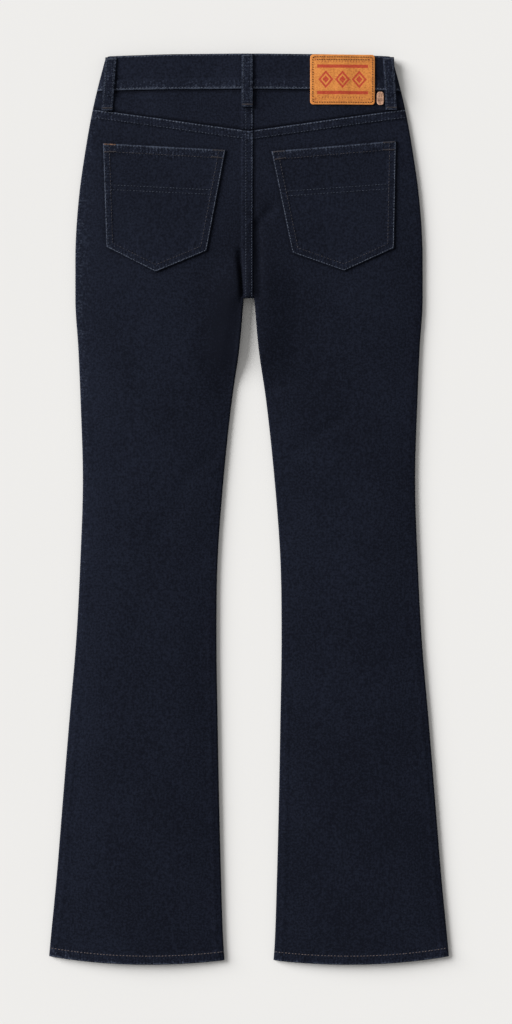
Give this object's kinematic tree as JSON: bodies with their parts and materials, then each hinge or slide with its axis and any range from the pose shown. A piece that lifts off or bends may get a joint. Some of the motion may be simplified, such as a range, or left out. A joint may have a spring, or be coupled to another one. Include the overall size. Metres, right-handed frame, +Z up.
{
  "type": "bootcut jeans",
  "caption": "Dark indigo bootcut jeans laid flat face down, back up, with yoke, patch pockets, belt loops and a plain leather waist patch.",
  "frame": {"origin": "centre of the flat garment's outline, on the surface that it lies on", "axes": "+X towards the wearer's right (the right of the picture), +Y towards the waist, +Z up out of the back"},
  "size_m": [0.4792, 1.0902, 0.0132],
  "materials": {
    "denim": "dark indigo heathered twill denim, matt",
    "zip_tape": "closed zip on dark woven tape",
    "patch_leather": "tan smooth leather, satin",
    "tab_leather": "pinkish tan leather, matt",
    "button_metal": "dull antique copper"
  },
  "bodies": {
    "root": {"back_leg_left": "denim", "back_leg_right": "denim", "yoke_left": "denim", "yoke_right": "denim", "waistband_back": "denim", "waistband_front_left": "denim", "waistband_front_right": "denim", "back_pocket_left": "denim", "back_pocket_right": "denim", "belt_loop_left": "denim", "belt_loop_centre": "denim", "belt_loop_right": "denim", "belt_loop_front_left": "denim", "belt_loop_front_right": "denim", "front_leg_left": "denim", "front_leg_right": "denim", "pocket_facing_left": "denim", "pocket_facing_right": "denim", "zip": "zip_tape", "leather_patch": "patch_leather", "leather_tab": "tab_leather", "waist_button": "button_metal"}
  },
  "joints": []
}
